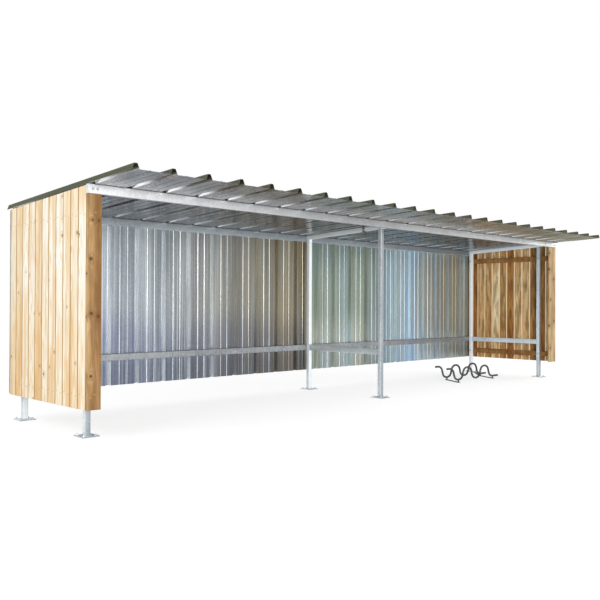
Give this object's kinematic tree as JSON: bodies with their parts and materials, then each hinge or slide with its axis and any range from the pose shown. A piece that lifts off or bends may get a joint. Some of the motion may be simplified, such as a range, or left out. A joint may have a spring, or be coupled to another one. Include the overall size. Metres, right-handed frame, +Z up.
{
  "type": "bike shelter",
  "caption": "Open-fronted bike shelter: galvanised tube frames, ribbed sheet roof and back wall, boarded timber end walls with front returns, and a low wave-bar wheel rack.",
  "frame": {"origin": "middle of the bounding box's bottom face, on the ground", "axes": "+X along the shelter to the right seen from the open front, +Y to the back wall, +Z up"},
  "size_m": [7.7716, 2.2376, 2.1272],
  "materials": {
    "galvanised": "hot-dip galvanised tube",
    "wall_sheet": "galvanised ribbed sheet",
    "roof_sheet": "ribbed sheet, olive green coat on top, bare galvanised below",
    "pine": "sawn pine boards with knots, unpainted",
    "dark_steel": "dark grey steel"
  },
  "bodies": {
    "root": {"plate_front_left": "galvanised", "plate_front_middle": "galvanised", "plate_front_right": "galvanised", "plate_rear_left": "galvanised", "plate_rear_middle": "galvanised", "plate_rear_right": "galvanised", "post_front_left": "galvanised", "post_front_middle": "galvanised", "post_front_right": "galvanised", "post_rear_left": "galvanised", "post_rear_middle": "galvanised", "post_rear_right": "galvanised", "front_beam": "galvanised", "rear_beam": "galvanised", "rafter_left": "galvanised", "rafter_middle": "galvanised", "rafter_right": "galvanised", "rafter_strap": "dark_steel", "rear_rail": "galvanised", "side_rail_left": "galvanised", "side_rail_middle": "galvanised", "side_rail_right": "galvanised", "roof_sheet_1": "roof_sheet", "roof_sheet_2": "roof_sheet", "roof_sheet_3": "roof_sheet", "roof_sheet_4": "roof_sheet", "roof_sheet_5": "roof_sheet", "roof_sheet_6": "roof_sheet", "roof_sheet_7": "roof_sheet", "roof_sheet_8": "roof_sheet", "wall_sheet_1": "wall_sheet", "wall_sheet_2": "wall_sheet", "wall_sheet_3": "wall_sheet", "wall_sheet_4": "wall_sheet", "wall_sheet_5": "wall_sheet", "wall_sheet_6": "wall_sheet", "wall_sheet_7": "wall_sheet", "wall_sheet_8": "wall_sheet", "cladding_left": "pine", "cladding_right": "pine", "battens_left": "pine", "battens_right": "pine", "return_left": "pine", "return_right": "pine", "rack_front_bar": "dark_steel", "rack_rear_bar": "dark_steel", "rack_feet": "dark_steel"}
  },
  "joints": []
}
